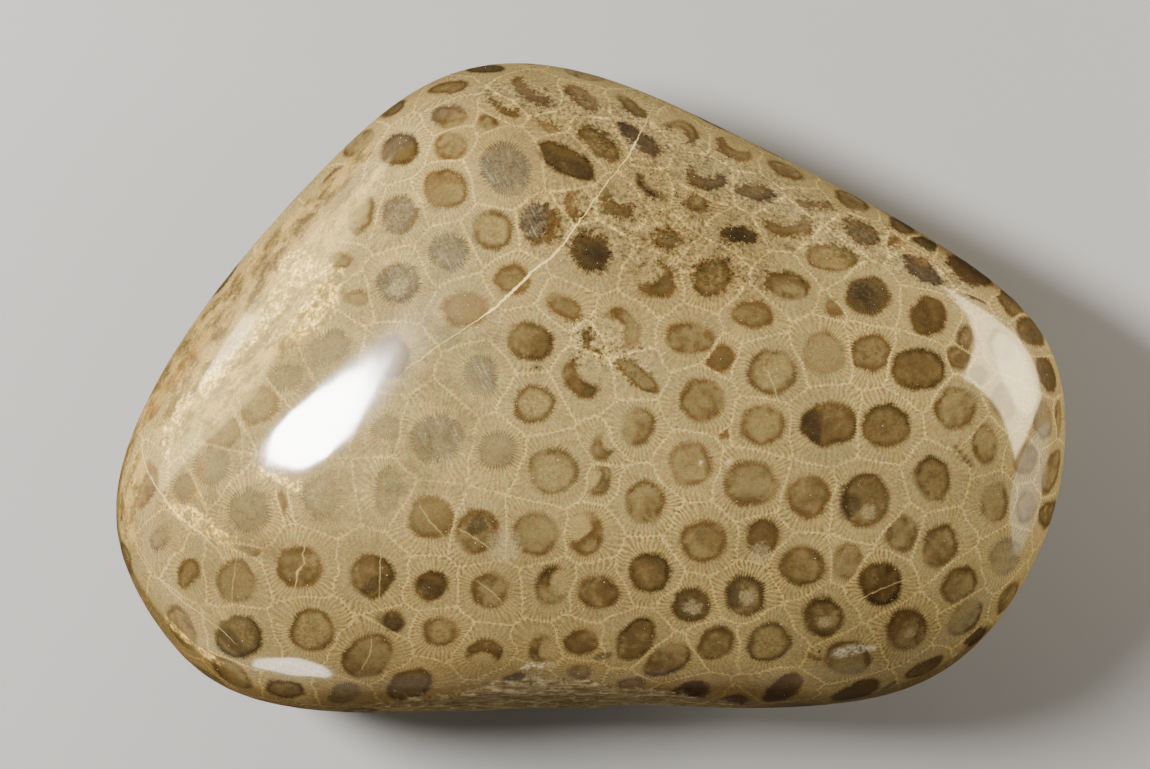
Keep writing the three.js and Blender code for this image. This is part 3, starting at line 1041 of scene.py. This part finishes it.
def add_lamp(skin, name, mirrored_at, distance, size, shape, turn, glow, colour, role):
    """A soft panel placed so that its reflection shows at a pixel of the photograph."""
    x, y = mirrored_at
    place, _ = skin.under(x, y)
    steps = (-LAMP_PATCH, 0, LAMP_PATCH)
    normals = [skin.under(x + step, y + other)[1] for step in steps for other in steps]
    normal = sum(normals, Vector()).normalized()
    back = (CAMERA_PLACE - place).normalized()
    towards = 2 * normal.dot(back) * normal - back
    lamp = bpy.data.lights.new(name, "AREA")
    lamp.shape = shape
    lamp.size, lamp.size_y = size
    lamp.energy = glow * size[0] * size[1]
    lamp.color = colour
    holder = bpy.data.objects.new(name, lamp)
    holder.location = place * MM + towards * distance
    holder.rotation_mode = "QUATERNION"
    aim = (-towards).to_track_quat("-Z", "Y")
    holder.rotation_quaternion = aim @ Quaternion((0, 0, 1), math.radians(turn))
    holder.visible_camera = False
    holder.visible_diffuse = role != "shine"
    holder.visible_glossy = role != "light"
    bpy.context.scene.collection.objects.link(holder)


def add_world():
    world = bpy.data.worlds.new("studio")
    world.use_nodes = True
    background = world.node_tree.nodes["Background"]
    background.inputs["Color"].default_value = WORLD_COLOUR
    background.inputs["Strength"].default_value = WORLD_GLOW
    bpy.context.scene.world = world


def break_hollow(net):
    """Breaks the rough hollow back into ledges, and stores how rough each point is."""
    middle_x, middle_z = ROUGH_MIDDLE
    along = (net.places[:, 0] - middle_x) / ROUGH_HALF_LENGTH
    up = (net.places[:, 2] - middle_z) / ROUGH_HALF_HEIGHT
    rough = np.exp(-along**4 - up**2) * (net.normals[:, 1] < 0)
    for index in np.flatnonzero(rough > 0.05):
        at = Vector(net.places[index] * LEDGE_SCALE)
        ledge = noise.fractal(at, 1.0, 2.0, 4)
        depth = ROUGH_DEPTH * rough[index] * min(max(0.5 + ledge, 0), 1.5)
        net.places[index] -= net.normals[index] * depth
    write_places(net.mesh, net.places)
    net.store("rough", np.clip(rough * 1.3, 0, 1))
    # How steep each point is, for the painted shade that darkens the steep sides.
    net.store("steep_side_shade", 1 - net.normals[:, 2])


add_camera()
stone = smooth_stone()
places = read_places(stone.data)
places[:, 2] = np.maximum(places[:, 2], 0)
write_places(stone.data, places)
stone.data.shade_smooth()

skin = Skin(stone.data)
chance = np.random.default_rng(SEED)
calices = [read_calice(skin, chance, *row) for row in READ_CALICES]
net = Net(stone.data)
calices += unseen_calices(net.places, net.normals, calices, chance)
store_cells(net, calices, chance)
store_veins(net, skin)
store_marks(net, skin)
break_hollow(net)
stone.data.materials.clear()
stone.data.materials.append(coral_material())
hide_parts("coral_stone")
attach(stone, "root")

add_floor()
add_world()
for lamp in LAMPS:
    add_lamp(skin, *lamp)
